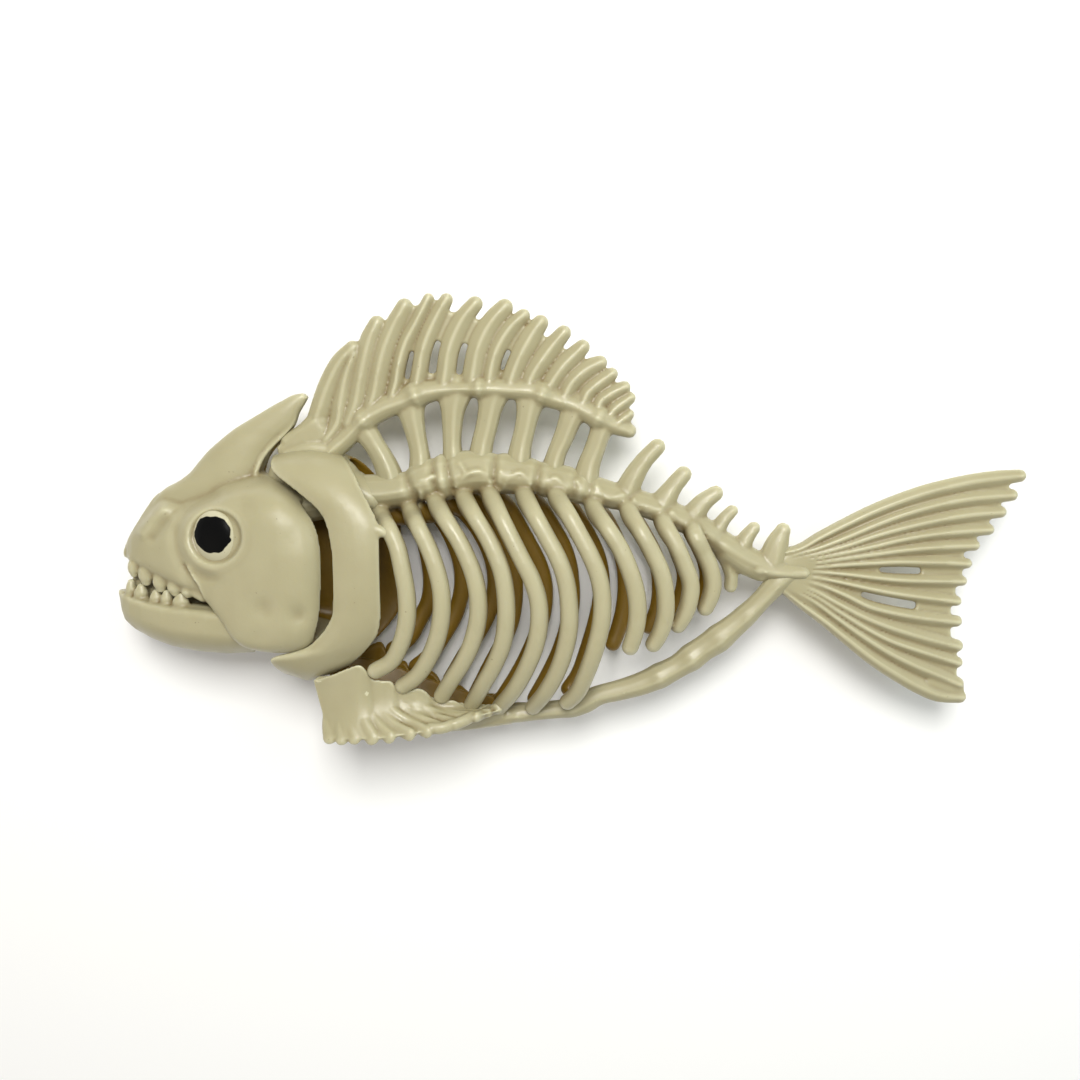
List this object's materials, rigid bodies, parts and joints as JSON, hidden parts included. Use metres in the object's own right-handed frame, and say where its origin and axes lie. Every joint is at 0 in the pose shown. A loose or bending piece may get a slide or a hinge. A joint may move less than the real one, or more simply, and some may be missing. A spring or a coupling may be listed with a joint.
{
  "type": "fish skeleton decoration",
  "caption": "Moulded plastic fish skeleton lying on its right side, with a toothed open jaw, painted eyes, bony collar, rib cage, ray fins and a forked tail",
  "frame": {"origin": "centre of the footprint, on the surface that the right flank lies on", "axes": "+X runs from the snout to the tail fin, +Y to the fish's back, +Z out of its left flank, which faces up"},
  "size_m": [0.3622, 0.1788, 0.052],
  "materials": {
    "bone_plastic": "semi-gloss ivory moulding, slightly mottled",
    "eye_paint": "black painted pupil on an ivory eyeball"
  },
  "bodies": {
    "root": {"skull": "bone_plastic", "lower_jaw": "bone_plastic", "eye_left": "eye_paint", "eye_right": "eye_paint", "collar": "bone_plastic", "rib_cage_left": "bone_plastic", "rib_cage_right": "bone_plastic", "dorsal_fin": "bone_plastic", "keel": "bone_plastic", "pectoral_fin_left": "bone_plastic", "pectoral_fin_right": "bone_plastic", "tail_fin": "bone_plastic"}
  },
  "joints": []
}
